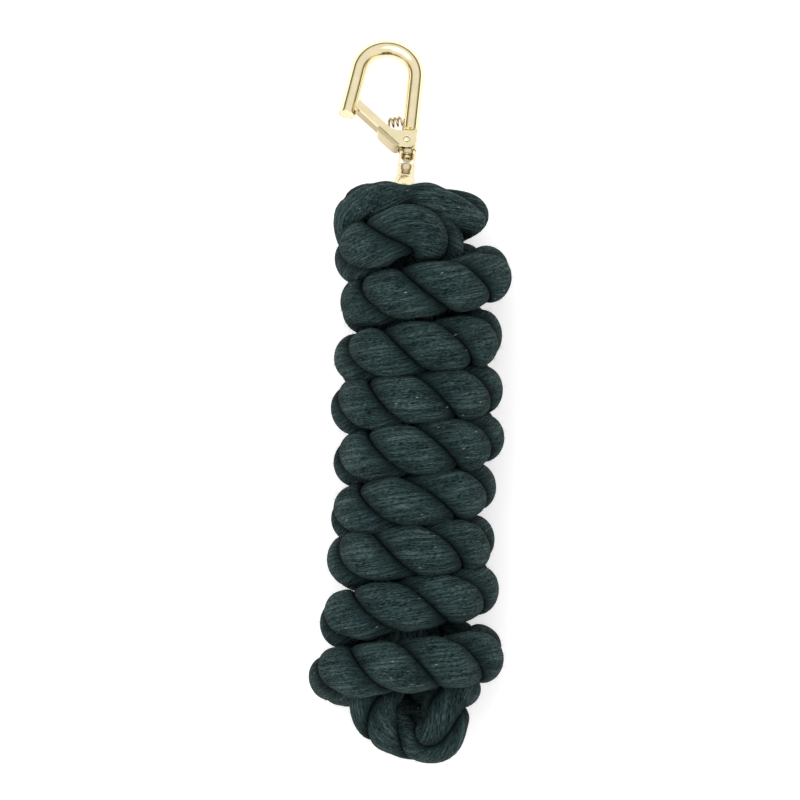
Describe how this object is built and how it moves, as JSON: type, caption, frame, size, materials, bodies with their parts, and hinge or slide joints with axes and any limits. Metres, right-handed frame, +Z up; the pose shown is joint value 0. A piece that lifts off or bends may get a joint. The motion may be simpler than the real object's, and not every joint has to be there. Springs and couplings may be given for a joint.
{
  "type": "lead rope",
  "caption": "Horse lead rope: three-strand cotton rope wound into a hank, with a swivelling brass snap hook spliced to its end.",
  "frame": {"origin": "centre of the footprint, on the surface the hank lies on", "axes": "+Y along the hank towards the hook, +Z up off the surface, +X to the right seen from above with the hook at the top"},
  "size_m": [0.0731, 0.2794, 0.067],
  "materials": {
    "cotton_rope": "matt cotton, dark bottle green",
    "brass": "polished",
    "spring_wire": "drawn wire"
  },
  "bodies": {
    "rope": {"rope_hank": "cotton_rope", "rope_eye_loop": "cotton_rope", "rope_bottom_bight": "cotton_rope"},
    "swivel": {"swivel_eye": "brass"},
    "hook": {"hook_body": "brass", "gate_rivet": "brass", "gate_spring": "spring_wire"},
    "gate": {"gate_lever": "brass"}
  },
  "joints": [
    {"name": "eye_swing", "type": "hinge", "parent": "rope", "child": "swivel", "pos_m": [-0.00392, 0.07529, 0.034], "axis": [0.9942, -0.108, 0], "range_deg": [-20, 60]},
    {"name": "hook_swivel", "type": "hinge", "parent": "swivel", "child": "hook", "pos_m": [-0.00392, 0.07529, 0.034], "axis": [0.0962, 0.8853, -0.4549], "continuous": true},
    {"name": "gate_pivot", "type": "hinge", "parent": "hook", "child": "gate", "pos_m": [-0.00216, 0.09982, 0.02144], "axis": [-0.0491, -0.4523, -0.8905], "range_deg": [0, 26], "stiffness_Nm_per_rad": 0.1, "springref_deg": -28.65, "deforming": ["gate_spring"]}
  ]
}
